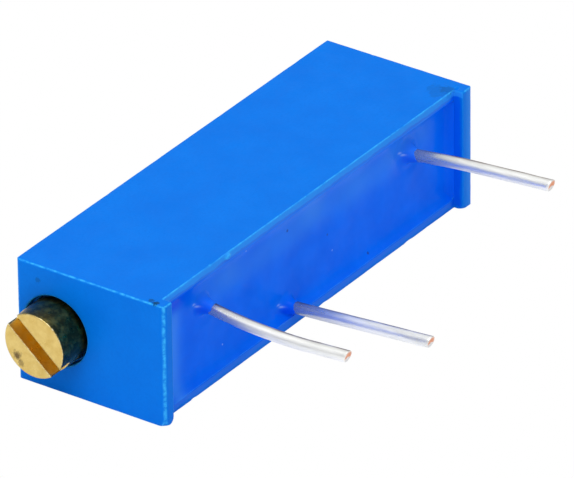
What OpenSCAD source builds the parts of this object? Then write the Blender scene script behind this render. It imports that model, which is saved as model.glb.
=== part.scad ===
// Rectangular multi-turn trimmer potentiometer, lying on one of its long sides.
// A slotted lead screw in the near end moves a carriage, and the carriage draws a wiper along
// a straight resistive element on a ceramic strip.  Three wire pins leave through the potting.
// X runs along the screw, away from its head.  The pins point to -Y.  The rest face is Z = 0,
// and the origin is the centre of that face.  All sizes are in millimetres.

/* [Housing] */
// Length of the housing, along the screw
body_l = 19.05; // [18.8:0.05:24]
// Height of the housing, from its back face to its feet
body_h = 6.3; // [6.2:0.05:8]
// Width of the housing, from the rest face to the top face
body_w = 4.83; // [4.8:0.01:6.5]
// Radius of the housing's upright edges, and of the pocket's corners
edge_r = 0.2; // [0.05:0.01:0.3]
// Radius of the edges round the housing's rest face and top face
face_edge_r = 0.1; // [0.05:0.01:0.3]
// Thickness of the long walls beside the potting
long_wall = 0.38; // [0.25:0.01:0.45]
// Thickness of the near end wall beside the potting
near_wall = 0.5; // [0.3:0.05:1]
// Thickness of the far end wall beside the potting
far_wall = 0.62; // [0.3:0.01:1]
// Height of the end walls' feet past the long rims
foot_h = 0.38; // [0.1:0.01:0.6]
// Length of the near end block that carries the screw
near_block = 2.3; // [2.2:0.05:3]
// Length of the far end block that carries the screw's journal
far_block = 2.27; // [1.8:0.01:3]
// Thickness of the side walls beside the carriage
cavity_wall = 0.6; // [0.5:0.05:0.7]
// Thickness of the back wall over the carriage
back_wall = 0.45; // [0.3:0.05:0.6]
// Diameter of the hole's mouth round the screw head
mouth_d = 2.7; // [2.6:0.05:2.9]
// Depth of the hole's mouth
mouth_depth = 0.45; // [0.2:0.05:0.6]

/* [Lead screw] */
// Distance from the housing's back face to the screw's axis
screw_from_back = 1.65; // [1.55:0.05:1.9]
// Diameter of the screw's head and collar
head_d = 2.47; // [2.3:0.01:2.5]
// Length of the head outside the housing
head_out = 1.27; // [0.5:0.01:2]
// Chamfer round the head's face
head_chamfer = 0.05; // [0.01:0.01:0.1]
// Width of the driver slot
slot_w = 0.58; // [0.3:0.02:0.8]
// Depth of the driver slot
slot_depth = 0.56; // [0.3:0.02:0.9]
// Angle of the driver slot, from +Y towards +Z
slot_angle = 41; // [0:1:180]
// Axial length of the head inside the housing, up to the seal groove
head_in = 0.65; // [0.5:0.05:0.75]
// Axial width of the collar between the seal and the retainer
collar_w = 0.26; // [0.2:0.02:0.4]
// Outside diameter of the thread
thread_d = 1.9; // [1.8:0.05:2]
// Radial depth of the thread
thread_depth = 0.27; // [0.2:0.01:0.3]
// Travel of the carriage for one turn
lead = 0.762; // [0.7:0.002:0.9]
// Axial width of the thread's crest
crest_w = 0.2; // [0.15:0.01:0.25]
// Axial width of each flank of the thread
flank_w = 0.11; // [0.08:0.01:0.13]
// Diameter of the far journal
journal_d = 1.2; // [0.9:0.05:1.3]
// Length of the far journal inside its bearing
journal_l = 1; // [0.5:0.05:1.2]

/* [Seal and retainer] */
// Thickness of the seal ring's section
ring_t = 0.56; // [0.4:0.02:0.6]
// Thickness of the retainer clip
clip_t = 0.34; // [0.25:0.01:0.4]
// Width of the retainer clip
clip_w = 2.9; // [2.7:0.05:3.2]
// Height of the clip's legs past the screw's axis
clip_rise = 0.8; // [0.5:0.05:0.9]
// Radius of the clip's outer corners
clip_corner_r = 0.15; // [0.05:0.05:0.3]
// Diameter of the screw's neck between the clip's legs
neck_d = 1.4; // [1.2:0.05:1.5]

/* [Carriage and wiper] */
// Length of the carriage along the screw
carriage_l = 2.6; // [2.5:0.05:3]
// Thickness of the carriage's floor under the screw
carriage_floor = 0.55; // [0.4:0.05:0.6]
// Height of the carriage's sides past the screw's axis
carriage_rise = 0.6; // [0.2:0.05:0.8]
// Half of the arc over which the carriage's threads grip the screw
grip_angle = 55; // [30:5:70]
// Diameter of the stakes that hold the wiper to the carriage
stake_d = 0.36; // [0.3:0.02:0.4]
// Diameter of the stakes' formed heads
stake_head_d = 0.6; // [0.5:0.02:0.64]
// Height of the stakes' formed heads
stake_head_h = 0.1; // [0.05:0.01:0.15]
// Distance from the middle of a row of fingers to the stake beside it
stake_shift = 0.3; // [0.2:0.05:0.4]
// Thickness of the wiper's sheet
wiper_t = 0.07; // [0.05:0.01:0.1]
// Width of one wiper finger
finger_w = 0.16; // [0.1:0.01:0.2]
// Distance between the middles of neighbouring fingers
finger_pitch = 0.22; // [0.21:0.01:0.26]
// Inside radius of the fingers' contact bend
finger_r = 0.12; // [0.08:0.01:0.16]
// Length of the wiper's flat sheet along the screw
sheet_l = 0.75; // [0.7:0.01:0.8]
// Distance from the middle of a row of fingers to the sheet's side edge
sheet_margin = 0.35; // [0.31:0.01:0.4]

/* [Element] */
// Thickness of the ceramic strip
ceramic_t = 0.7; // [0.5:0.05:0.9]
// Thickness of the printed films
film_t = 0.02; // [0.01:0.01:0.04]
// Width of the resistive track
track_w = 0.9; // [0.7:0.05:1]
// Width of the collector track
collector_w = 0.8; // [0.7:0.05:0.9]
// Length of the printed pads along the screw
pad_l = 0.9; // [0.8:0.05:1.1]
// Distance by which the end pads stand past the track's sides
pad_margin = 0.1; // [0.02:0.01:0.12]
// Distance from the row of the end pins to the middle of the resistive track
track_shift = 0.1; // [0:0.01:0.2]
// Distance from the carriage's side wall to the collector track
collector_inset = 0.4; // [0.3:0.05:0.5]

/* [Terminals] */
// Diameter of the pins
pin_d = 0.45; // [0.4:0.01:0.47]
// Distance from each end face of the housing to the end pin beside it
end_inset = 3.175; // [3:0.005:3.4]
// Distance from the first end pin to the wiper pin, along the screw
wiper_pitch = 5.08; // [4.5:0.01:8]
// Distance between the row of the end pins and the wiper pin
row_gap = 2.54; // [2.4:0.02:2.7]
// Height of the wiper pin above the rest face
wiper_pin_z = 0.76; // [0.74:0.01:0.9]
// Length of the pins past the long rims
pin_out = 5.85; // [3:0.05:8]
// Angle of the slanted cut at the pins' tips
tip_cut = 18; // [0:1:40]
// Height of the solder fillets
solder_h = 0.45; // [0.3:0.05:0.5]
// Radius of the solder fillets at the ceramic strip
solder_r = 0.5; // [0.35:0.05:0.6]
// Thickness of the solder where it thins out on a pin
solder_rim = 0.05; // [0.02:0.01:0.1]
// Depth of the pins' ends in the ceramic strip's holes
pin_sink = 0.1; // [0.05:0.05:0.3]
// Length of the pins' straight roots past their solder
root_past = 0.05; // [0.05:0.05:0.3]
// Radius of the pins' bends inside the resin
inner_bend_r = 4; // [2:0.5:8]

/* [Pin bends] */
// Angle of the first pin's bend inside the resin, towards +Z
inner_bend_1 = -8; // [-10:0.5:10]
// Length of the first pin between its bends
between_1 = 0.75; // [0.5:0.05:1.5]
// Angle of the first pin's bend outside, towards +Z
outer_bend_1 = 12; // [-14:0.5:14]
// Radius of the first pin's bend outside
outer_bend_r_1 = 18; // [6:1:20]
// Angle of the wiper pin's bend inside the resin, towards +Z
inner_bend_2 = 3.5; // [-10:0.5:10]
// Length of the wiper pin between its bends
between_2 = 0.9; // [0.5:0.05:1.5]
// Angle of the wiper pin's bend outside, towards +Z
outer_bend_2 = 1; // [-14:0.5:14]
// Radius of the wiper pin's bend outside
outer_bend_r_2 = 14; // [6:1:30]
// Angle of the third pin's bend inside the resin, towards +Z
inner_bend_3 = 7.5; // [-10:0.5:10]
// Length of the third pin between its bends
between_3 = 1.3; // [0.5:0.05:1.5]
// Angle of the third pin's bend outside, towards +Z
outer_bend_3 = -3; // [-14:0.5:14]
// Radius of the third pin's bend outside
outer_bend_r_3 = 30; // [6:1:30]

/* [Potting] */
// Depth of the resin's level face below the long rims
resin_recess = 0.3; // [0.25:0.01:0.4]
// Radius of the meniscus along the walls
meniscus_r = 0.28; // [0.26:0.01:0.4]
// Height to which the resin climbs the walls
wall_climb = 0.22; // [0.1:0.01:0.24]
// Height to which the resin climbs the pins
pin_climb = 0.45; // [0.2:0.01:0.5]
// Thickness of the resin where it thins out on a pin
skirt_rim = 0.05; // [0.02:0.01:0.1]

/* [Clearances] */
// Radial clearance of the screw in its bearings
run_gap = 0.035; // [0.02:0.005:0.05]
// Clearance between the carriage and what it slides on
slide_gap = 0.05; // [0.03:0.01:0.08]
// Clearance between the wiper's fingers and the printed films
touch_gap = 0.02; // [0.01:0.01:0.05]
// Clearance between pieces that are bonded or set into each other
bond_gap = 0.01; // [0.005:0.005:0.03]

/* [Hidden] */
$fn = 48;
cut = 1; // how far a cutting solid runs past the face that it opens
sunk = 0.1; // how far joined lengths of one piece run into each other
fuse = 0.002; // how much wider a joining ball is than the wires that it joins

// Planes of the housing
near_x = -body_l / 2;
far_x = body_l / 2;
back_y = body_h / 2;
foot_y = -body_h / 2;
rim_y = foot_y + foot_h;
cavity_near_x = near_x + near_block;
cavity_far_x = far_x - far_block;
cavity_z = [cavity_wall, body_w - cavity_wall];

// The screw, along X
screw_y = back_y - screw_from_back;
screw_z = body_w / 2;
head_r = head_d / 2;
bearing_r = head_r + run_gap;
thread_r = thread_d / 2;
core_r = thread_r - thread_depth;
journal_r = journal_d / 2;
neck_r = neck_d / 2;

// The seal ring fills its groove from the screw to the bearing
ring_groove_r = bearing_r - run_gap - ring_t - bond_gap;
ring_groove_w = ring_t + 2 * run_gap;
ring_x = near_x + head_in + ring_groove_w / 2;
collar_end_x = near_x + head_in + ring_groove_w + collar_w;

// The clip stands against the collar, in a slot of the housing
clip_x = collar_end_x + bond_gap;
neck_end_x = clip_x + clip_t + run_gap;

// The thread, whose gap is centred on the carriage's middle under the screw
thread_sides = 16; // straight pieces to a turn of the thread
plain_share = 0.1; // share of a turn left plain at each end of the thread
gap_w = lead - crest_w - 2 * flank_w;
thread_near_x = cavity_near_x + slide_gap;
thread_far_x = cavity_far_x - slide_gap;
thread_phase = lead / 4 - gap_w / 2;
near_turns = floor((thread_phase - thread_near_x) / lead - plain_share);
all_turns = near_turns + floor((thread_far_x - thread_phase) / lead - plain_share);
helix_x = thread_phase - near_turns * lead;

// The element, printed on the face that the wiper touches.  That face stands at a fixed share
// of the way from the screw's axis to the rims, so that the carriage and the potting share a
// change of the housing's height.
element_share = 0.54;
element_drop = element_share * (screw_y - rim_y);
seat_y = screw_y - element_drop;
under_y = seat_y - ceramic_t;
film_y = seat_y + film_t;
pin_1_x = near_x + end_inset;
pin_2_x = pin_1_x + wiper_pitch;
pin_3_x = far_x - end_inset;
end_pin_z = wiper_pin_z + row_gap;
pin_r = pin_d / 2;
pin_hole_r = pin_r + 2 * bond_gap;
track_z = end_pin_z - track_shift;
collector_z = cavity_z[0] + collector_inset + collector_w / 2;
track_x = [pin_1_x + pad_l / 2, pin_3_x - pad_l / 2];

// The carriage, in the cavity
channel_r = thread_r + slide_gap;
carriage_z = [cavity_z[0] + slide_gap, cavity_z[1] - slide_gap];
carriage_y = screw_y - channel_r - carriage_floor;
sheet_near_x = -carriage_l / 2 + slide_gap;
sheet_far_x = sheet_near_x + sheet_l;
stake_x = sheet_near_x + stake_head_d / 2;
stake_z = [collector_z + stake_shift, track_z - stake_shift];

// The resin's level face, and where it leaves the pins
resin_y = rim_y + resin_recess;
pin_exit_y = resin_y - pin_climb;

// Each pin's way: the bend inside the resin, the straight length up to the bend outside, that
// bend and its radius
pin_top_y = seat_y - pin_sink;
root_l = pin_top_y - under_y + solder_h + root_past;
PIN_WAYS = [
    [inner_bend_1, between_1, outer_bend_1, outer_bend_r_1],
    [inner_bend_2, between_2, outer_bend_2, outer_bend_r_2],
    [inner_bend_3, between_3, outer_bend_3, outer_bend_r_3],
];

// A rectangle with rounded corners, about the origin
module rounded_rect(w, h, r) {
    square([w - 2 * r, h], center = true);
    square([w, h - 2 * r], center = true);
    for (x = [-1, 1], y = [-1, 1])
        translate([x * (w / 2 - r), y * (h / 2 - r)]) circle(r);
}

// A block with all its edges rounded, about the origin
module rounded_block(l, h, w, upright_r, face_r) {
    intersection() {
        linear_extrude(w, center = true) rounded_rect(l, h, upright_r);
        rotate([90, 0, 0]) linear_extrude(h, center = true) rounded_rect(l, w, face_r);
        rotate([90, 0, 90]) linear_extrude(l, center = true) rounded_rect(h, w, face_r);
    }
}

// A box between two corners
module box(low, high) {
    translate(low) cube(high - low);
}

// Turns what is drawn along +Z to run along the screw, starting at x
module along_screw(x) {
    translate([x, screw_y, screw_z]) rotate([0, 90, 0]) children();
}

// Turns what is drawn along +Z to run along a pin, starting at its place and at y
module along_pin(x, y, z) {
    translate([x, y, z]) rotate([90, 0, 0]) children();
}

// The pocket that the potting fills, from a depth out to beyond the rims
module pocket(y, gap = 0) {
    low_x = near_x + near_wall + gap;
    high_x = far_x - far_wall - gap;
    translate([(low_x + high_x) / 2, y, body_w / 2]) rotate([90, 0, 0])
        linear_extrude(y - foot_y + cut)
            rounded_rect(high_x - low_x, body_w - 2 * (long_wall + gap), edge_r);
}

// The clip's outline, seen along the screw with -Y at the bottom
module clip_outline(gap = 0) {
    low = -element_drop;
    difference() {
        translate([0, (clip_rise + low) / 2])
            rounded_rect(clip_w + 2 * gap, clip_rise - low + 2 * gap, clip_corner_r);
        if (gap == 0) {
            circle(neck_r + run_gap);
            translate([-neck_r - run_gap, 0]) square([2 * (neck_r + run_gap), clip_rise + cut]);
        }
    }
}

module clip_plate(x, t, gap = 0) {
    translate([x, screw_y, screw_z]) rotate([90, 0, 90]) linear_extrude(t) clip_outline(gap);
}

module housing() {
    color([0.08, 0.45, 0.92]) difference() {
        translate([0, 0, body_w / 2])
            rounded_block(body_l, body_h, body_w, edge_r, face_edge_r);
        // The gap between the two feet
        box([near_x + near_wall, foot_y - cut, -cut], [far_x - far_wall, rim_y, body_w + cut]);
        pocket(seat_y);
        // The space in which the carriage travels
        box([cavity_near_x, seat_y - cut, cavity_z[0]],
            [cavity_far_x, back_y - back_wall, cavity_z[1]]);
        along_screw(near_x - cut) cylinder(h = cut + mouth_depth, d = mouth_d);
        along_screw(near_x) cylinder(h = clip_x - near_x, r = bearing_r);
        along_screw(near_x) cylinder(h = near_block + cut, r = thread_r + run_gap);
        along_screw(cavity_far_x - cut)
            cylinder(h = cut + journal_l + 3 * slide_gap, r = journal_r + run_gap);
        clip_plate(clip_x - bond_gap, clip_t + 2 * bond_gap, bond_gap);
    }
}

// The face of the resin between the walls, a tray with rounded bottom edges
module resin_tray() {
    inset = meniscus_r + 2 * bond_gap;
    low_x = near_x + near_wall + inset;
    high_x = far_x - far_wall - inset;
    hull()
        for (x = [low_x, high_x], z = [long_wall + inset, body_w - long_wall - inset])
            translate([x, resin_y - meniscus_r, z]) {
                sphere(meniscus_r, $fn = 24);
                along_pin(0, 0, 0) cylinder(h = cut, r = meniscus_r, $fn = 24);
            }
}

// The skirt of resin that climbs a pin, hollow in profile
module resin_skirt(x, z) {
    steps = 6;
    top_r = pin_r + skirt_rim;
    arc = [for (i = [0 : steps]) let (a = 90 * i / steps)
        [top_r + pin_climb * (1 - sin(a)), pin_climb * (1 - cos(a))]];
    along_pin(x, resin_y, z) rotate_extrude()
        polygon(concat([[0, -sunk], [top_r + pin_climb, -sunk]], arc, [[0, pin_climb]]));
}

module potting() {
    color([0.1, 0.35, 0.85]) difference() {
        intersection() {
            pocket(under_y, bond_gap);
            union() {
                difference() {
                    box([near_x, resin_y - wall_climb, 0], [far_x, under_y, body_w]);
                    resin_tray();
                }
                for (i = [0 : 2]) resin_skirt(pin_x(i), pin_z(i));
            }
        }
        for (i = [0 : 2]) {
            pin_wire(i, pin_r + bond_gap);
            solder_cone(i, bond_gap);
        }
    }
}

// A revolved profile along the screw, from pairs of a place along X and a radius
module turned(steps) {
    last = len(steps) - 1;
    outline = concat(
        [[0, steps[0][0]]],
        [for (s = steps) [s[1], s[0]]],
        [[0, steps[last][0]]]
    );
    along_screw(0) rotate_extrude() polygon(outline);
}

// Points of the thread's helix: the root chain first, then the other three corners of each step
function helix_point(step, along, r) =
    let (a = 360 * step / thread_sides)
    [r * cos(a), r * sin(a), lead * step / thread_sides + along];

// A threaded length that starts at low and ends at high, both measured from the helix's start.
// Its ridge is swept with straight steps, and its ends are flat discs of the core's size.
module threaded(low, high, turns) {
    n = thread_sides;
    last = (turns - 1) * n;
    corners = [[gap_w, core_r], [gap_w + flank_w, thread_r], [gap_w + flank_w + crest_w, thread_r]];
    roots = [for (i = [0 : last + n]) helix_point(i, 0, core_r)];
    ridge = [for (i = [0 : last], c = corners) helix_point(i, c[0], c[1])];
    near_ring = [for (i = [0 : n - 1]) [core_r * cos(360 * i / n), core_r * sin(360 * i / n), low]];
    far_ring = [for (p = near_ring) [p[0], p[1], high]];
    ridge_at = len(roots);
    near_at = ridge_at + len(ridge);
    far_at = near_at + n;
    // Corner j of step i, where corner 4 is the root one turn on
    function at(i, j) = j == 0 ? i : j == 4 ? i + n : ridge_at + 3 * i + j - 1;
    strips = [for (i = [0 : last - 1], j = [0 : 3], half = [0, 1])
        half == 0 ? [at(i, j), at(i + 1, j + 1), at(i + 1, j)]
                  : [at(i, j), at(i, j + 1), at(i + 1, j + 1)]];
    near_skirt = [for (i = [0 : n - 2]) [near_at + i, i, i + 1, near_at + i + 1]];
    far_skirt = [for (i = [1 : n - 1])
        [last + i, far_at + i, far_at + (i + 1) % n, last + i + 1]];
    near_end = [
        [near_at + n - 1, n - 1, n, at(0, 1), 0, near_at],
        [at(0, 1), n, at(0, 3), at(0, 2)],
        [for (i = [0 : n - 1]) near_at + i],
    ];
    far_end = [
        [far_at + 1, last + 1, last, at(last, 1), last + n, far_at],
        [at(last, 1), at(last, 2), at(last, 3), last + n],
        [for (i = [n - 1 : -1 : 0]) far_at + i],
    ];
    polyhedron(concat(roots, ridge, near_ring, far_ring),
               concat(strips, near_skirt, far_skirt, near_end, far_end));
}

module lead_screw() {
    tip_x = near_x - head_out;
    journal_end_x = cavity_far_x + journal_l;
    color([0.86, 0.75, 0.45]) {
        difference() {
            turned([
                [tip_x, head_r - head_chamfer],
                [tip_x + head_chamfer, head_r],
                [near_x + head_in, head_r],
                [near_x + head_in, ring_groove_r],
                [near_x + head_in + ring_groove_w, ring_groove_r],
                [near_x + head_in + ring_groove_w, head_r],
                [collar_end_x, head_r],
                [collar_end_x, neck_r],
                [neck_end_x, neck_r],
                [neck_end_x, thread_r],
                [thread_near_x, thread_r],
            ]);
            translate([tip_x, screw_y, screw_z]) rotate([slot_angle, 0, 0])
                cube([2 * slot_depth, head_d + cut, slot_w], center = true);
        }
        along_screw(helix_x)
            threaded(thread_near_x - sunk - helix_x, thread_far_x - helix_x, all_turns);
        turned([
            [thread_far_x - sunk, journal_r],
            [journal_end_x - head_chamfer, journal_r],
            [journal_end_x, journal_r - head_chamfer],
        ]);
    }
}

module o_ring() {
    color([0.1, 0.1, 0.1]) along_screw(ring_x) rotate_extrude()
        translate([ring_groove_r + bond_gap + ring_t / 2, 0]) circle(d = ring_t);
}

module screw_retainer() {
    color([0.75, 0.76, 0.78]) clip_plate(clip_x, clip_t);
}

// One thread of the carriage: the ridge that fills the screw's gap, less the sliding clearance
module grip_thread(turn) {
    steps = 8;
    slope = flank_w / thread_depth;
    low_r = core_r + slide_gap;
    high_r = channel_r + slide_gap;
    low_w = gap_w / 2 + slope * (low_r - core_r) - slide_gap;
    high_w = gap_w / 2 + slope * (high_r - core_r) - slide_gap;
    points = [for (i = [0 : steps])
        let (a = -90 + grip_angle * (2 * i / steps - 1), mid = gap_w / 2 + lead * (a / 360 + turn))
        for (c = [[low_r, -low_w], [low_r, low_w], [high_r, high_w], [high_r, -high_w]])
            [c[0] * cos(a), c[0] * sin(a), mid + c[1]]];
    sides = [for (i = [0 : steps - 1], j = [0 : 3], half = [0, 1])
        let (k = (j + 1) % 4)
        half == 0 ? [4 * i + j, 4 * i + 4 + k, 4 * i + k] : [4 * i + j, 4 * i + 4 + j, 4 * i + 4 + k]];
    ends = [[0, 1, 2, 3], [for (j = [3 : -1 : 0]) 4 * steps + j]];
    along_screw(helix_x) polyhedron(points, concat(sides, ends));
}

module carriage() {
    half_l = carriage_l / 2;
    color([0.92, 0.9, 0.84]) {
        difference() {
            box([-half_l, carriage_y, carriage_z[0]],
                [half_l, screw_y + carriage_rise, carriage_z[1]]);
            along_screw(-half_l - cut) cylinder(h = carriage_l + 2 * cut, r = channel_r);
            box([-half_l - cut, screw_y, screw_z - channel_r],
                [half_l + cut, screw_y + carriage_rise + cut, screw_z + channel_r]);
        }
        for (turn = [near_turns - 1 : near_turns + 1]) grip_thread(turn);
        // Heat-formed stakes that hold the wiper
        for (z = stake_z) along_pin(stake_x, carriage_y, z) {
            translate([0, 0, -sunk]) cylinder(h = sunk + wiper_t + bond_gap, d = stake_d);
            translate([0, 0, wiper_t + bond_gap])
                cylinder(h = stake_head_h, d1 = stake_head_d, d2 = stake_d);
        }
    }
}

// Side outline of one finger: from its root, down to the contact bend and up to its tip
module finger_outline() {
    drop = carriage_y - film_y - touch_gap;
    outer_r = finger_r + wiper_t;
    slope = 40;
    mid = [0, outer_r - drop];
    bend_x = sheet_far_x + wiper_t;
    low = [for (a = [-90 - slope : 20 : -90 + slope]) mid + outer_r * [cos(a), sin(a)]];
    high = [for (a = [-90 + slope : -20 : -90 - slope]) mid + finger_r * [cos(a), sin(a)]];
    polygon(concat([[sheet_far_x - sunk, -wiper_t], [bend_x, -wiper_t]], low, high,
                   [[bend_x, 0], [sheet_far_x - sunk, 0]]));
}

module wiper() {
    color([0.85, 0.72, 0.4]) {
        difference() {
            box([sheet_near_x, carriage_y - wiper_t, collector_z - sheet_margin],
                [sheet_far_x, carriage_y, track_z + sheet_margin]);
            for (z = stake_z)
                along_pin(stake_x, carriage_y + cut, z)
                    cylinder(h = 2 * cut, d = stake_d + 2 * bond_gap);
        }
        for (z = [collector_z, track_z], k = [-1 : 1])
            translate([0, carriage_y, z + k * finger_pitch])
                linear_extrude(finger_w, center = true) finger_outline();
    }
}

module ceramic_substrate() {
    color([0.93, 0.92, 0.88]) difference() {
        intersection() {
            pocket(seat_y, 2 * bond_gap);
            box([near_x, under_y, 0], [far_x, seat_y, body_w]);
        }
        for (i = [0 : 2])
            along_pin(pin_x(i), seat_y + cut, pin_z(i))
                cylinder(h = ceramic_t + 2 * cut, r = pin_hole_r);
    }
}

module resistive_track() {
    color([0.12, 0.12, 0.13])
        box([track_x[0], seat_y, track_z - track_w / 2],
            [track_x[1], film_y, track_z + track_w / 2]);
}

module collector_track() {
    color([0.78, 0.76, 0.7]) difference() {
        union() {
            box([track_x[0], seat_y, collector_z - collector_w / 2],
                [track_x[1], film_y, collector_z + collector_w / 2]);
            box([pin_2_x - pad_l / 2, seat_y, cavity_z[0] + bond_gap],
                [pin_2_x + pad_l / 2, film_y, collector_z]);
        }
        along_pin(pin_2_x, seat_y + cut, wiper_pin_z) cylinder(h = 2 * cut, r = pin_hole_r);
    }
}

// A printed pad round an end pin's hole, up to the end of the resistive track
module end_pad(x) {
    color([0.78, 0.76, 0.7]) difference() {
        box([x - pad_l / 2, seat_y, track_z - track_w / 2 - pad_margin],
            [x + pad_l / 2, film_y, track_z + track_w / 2 + pad_margin]);
        along_pin(x, seat_y + cut, end_pin_z) cylinder(h = 2 * cut, r = pin_hole_r);
    }
}

module end_pad_1() { end_pad(pin_1_x); }
module end_pad_3() { end_pad(pin_3_x); }

function pin_x(i) = [pin_1_x, pin_2_x, pin_3_x][i];
function pin_z(i) = i == 1 ? wiper_pin_z : end_pin_z;

// A bend of a wire that starts along +Z and turns towards +Y by an angle
module bend(r, angle, bend_r) {
    mirror([0, angle < 0 ? 1 : 0, 0]) translate([0, bend_r, 0]) rotate([90, 0, -90])
        rotate_extrude(angle = abs(angle)) translate([bend_r, 0]) circle(r);
}

// Moves what follows to the end of such a bend
module after_bend(angle, bend_r) {
    side = angle < 0 ? -1 : 1;
    translate([0, side * bend_r * (1 - cos(angle)), bend_r * abs(sin(angle))])
        rotate([-angle, 0, 0]) children();
}

// The wire of pin i: a root through the ceramic strip, a bend in the resin, a bend outside
// and a straight shank with a slanted tip
module pin_wire(i, r) {
    way = PIN_WAYS[i];
    reach = pin_top_y - rim_y + pin_out;
    used = root_l + inner_bend_r * rad(way[0]) + way[1] + way[3] * rad(way[2]);
    shank = reach - used;
    along_pin(pin_x(i), pin_top_y, pin_z(i)) {
        cylinder(h = root_l, r = r);
        translate([0, 0, root_l]) {
            knuckle(r);
            bend(r, way[0], inner_bend_r);
            after_bend(way[0], inner_bend_r) {
                knuckle(r);
                cylinder(h = way[1], r = r);
                translate([0, 0, way[1]]) {
                    knuckle(r);
                    bend(r, way[2], way[3]);
                    after_bend(way[2], way[3]) {
                        knuckle(r);
                        slanted_rod(r, shank);
                    }
                }
            }
        }
    }
}

// A ball that joins two lengths of a wire
module knuckle(r) {
    sphere(r + fuse);
}

// Length of an arc of radius 1 over an angle in degrees
function rad(angle) = abs(angle) * PI / 180;

module slanted_rod(r, h) {
    difference() {
        cylinder(h = h + cut, r = r);
        translate([0, 0, h]) rotate([tip_cut, 0, 0]) translate([-cut, -cut, 0])
            cube([2 * cut, 2 * cut, 3 * cut]);
    }
}

module terminal_pin(i) {
    color([0.78, 0.78, 0.76]) pin_wire(i, pin_r);
}

module terminal_pin_1() { terminal_pin(0); }
module terminal_pin_2() { terminal_pin(1); }
module terminal_pin_3() { terminal_pin(2); }

// The cone of a solder fillet under the ceramic strip
module solder_cone(i, gap = 0) {
    along_pin(pin_x(i), under_y + gap, pin_z(i))
        cylinder(h = solder_h + 2 * gap, r1 = solder_r + gap, r2 = pin_r + solder_rim + gap);
}

module solder_joint(i) {
    color([0.7, 0.71, 0.73]) difference() {
        intersection() {
            solder_cone(i);
            pocket(under_y, 2 * bond_gap);
        }
        along_pin(pin_x(i), seat_y, pin_z(i)) cylinder(h = 2 * cut + root_l, r = pin_r + bond_gap);
    }
}

module solder_joint_1() { solder_joint(0); }
module solder_joint_2() { solder_joint(1); }
module solder_joint_3() { solder_joint(2); }

housing();
potting();
lead_screw();
o_ring();
screw_retainer();
carriage();
wiper();
ceramic_substrate();
resistive_track();
collector_track();
end_pad_1();
end_pad_3();
terminal_pin_1();
terminal_pin_2();
terminal_pin_3();
solder_joint_1();
solder_joint_2();
solder_joint_3();
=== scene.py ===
"""A rectangular multi-turn trimmer potentiometer, lying on its side on a pale floor."""
import math

import bpy
import numpy as np
from mathutils import Matrix, Vector, noise


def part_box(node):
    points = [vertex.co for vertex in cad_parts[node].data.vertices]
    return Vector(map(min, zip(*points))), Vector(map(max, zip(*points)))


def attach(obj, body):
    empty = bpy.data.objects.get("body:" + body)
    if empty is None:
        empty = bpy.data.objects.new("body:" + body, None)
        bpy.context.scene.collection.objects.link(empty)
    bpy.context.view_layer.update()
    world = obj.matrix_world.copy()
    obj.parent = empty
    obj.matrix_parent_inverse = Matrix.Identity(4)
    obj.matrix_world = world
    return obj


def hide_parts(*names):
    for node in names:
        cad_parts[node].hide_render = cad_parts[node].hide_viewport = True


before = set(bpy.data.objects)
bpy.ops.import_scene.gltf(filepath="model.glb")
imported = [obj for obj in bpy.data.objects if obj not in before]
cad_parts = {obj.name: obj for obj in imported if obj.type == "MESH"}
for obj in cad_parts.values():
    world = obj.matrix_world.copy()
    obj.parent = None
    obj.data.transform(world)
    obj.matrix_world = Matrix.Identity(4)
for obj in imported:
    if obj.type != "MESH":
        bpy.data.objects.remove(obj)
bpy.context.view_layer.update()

MM = 0.001

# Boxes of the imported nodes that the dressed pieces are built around
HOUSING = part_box("housing")
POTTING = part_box("potting")
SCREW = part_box("lead_screw")
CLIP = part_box("screw_retainer")
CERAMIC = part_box("ceramic_substrate")
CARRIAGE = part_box("carriage")

# Sizes of the housing that the boxes don't give
CORNER_R = 0.2 * MM
EDGE_R = 0.10 * MM
FOOT_H = 0.38 * MM
MOUTH_R = 1.35 * MM
MOUTH_DEPTH = 0.45 * MM
NEAR_BLOCK = 2.3 * MM
FAR_BLOCK = 2.27 * MM
BACK_WALL = 0.45 * MM
SLIDE_GAP = 0.05 * MM
RUN_GAP = 0.035 * MM
RESIN_RECESS = 0.3 * MM

# Sizes of the lead screw
HEAD_R = 1.235 * MM
HEAD_OUT = 1.27 * MM
HEAD_IN = 0.65 * MM
GROOVE_R = 0.665 * MM
GROOVE_W = 0.63 * MM
COLLAR_W = 0.26 * MM
NECK_R = 0.7 * MM
NECK_W = 0.385 * MM
THREAD_R = 0.95 * MM
CORE_R = 0.68 * MM
LEAD = 0.762 * MM
THREAD_START = 0.0195 * MM
GAP_W = 0.342 * MM
FLANK_W = 0.11 * MM
JOURNAL_R = 0.6 * MM
SLOT_W = 0.58 * MM
SLOT_DEPTH = 0.56 * MM
SLOT_ANGLE = math.radians(41)

# Sizes of the pins: each one's straight root and inner bend, the straight between its bends,
# and its outer bend.  Angles are in degrees, towards +Z.
PIN_R = 0.225 * MM
ROOT_L = 1.1 * MM
INNER_BEND_R = 4 * MM
TIP_CUT = math.radians(18)
PIN_OUT = 5.85 * MM
PIN_WAYS = {
    "terminal_pin_1": (-8, 0.75 * MM, 12, 18 * MM),
    "terminal_pin_2": (3.5, 0.9 * MM, 1, 14 * MM),
    "terminal_pin_3": (7.5, 1.3 * MM, -3, 30 * MM),
}

NEAR_X, FAR_X = HOUSING[0][0], HOUSING[1][0]
FOOT_Y, BACK_Y = HOUSING[0][1], HOUSING[1][1]
TOP_Z = HOUSING[1][2]
RIM_Y = FOOT_Y + FOOT_H
SCREW_Y = (SCREW[0][1] + SCREW[1][1]) / 2
SCREW_Z = (SCREW[0][2] + SCREW[1][2]) / 2
SEAT_Y = CERAMIC[1][1]
CAVITY_X = (NEAR_X + NEAR_BLOCK, FAR_X - FAR_BLOCK)

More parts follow.
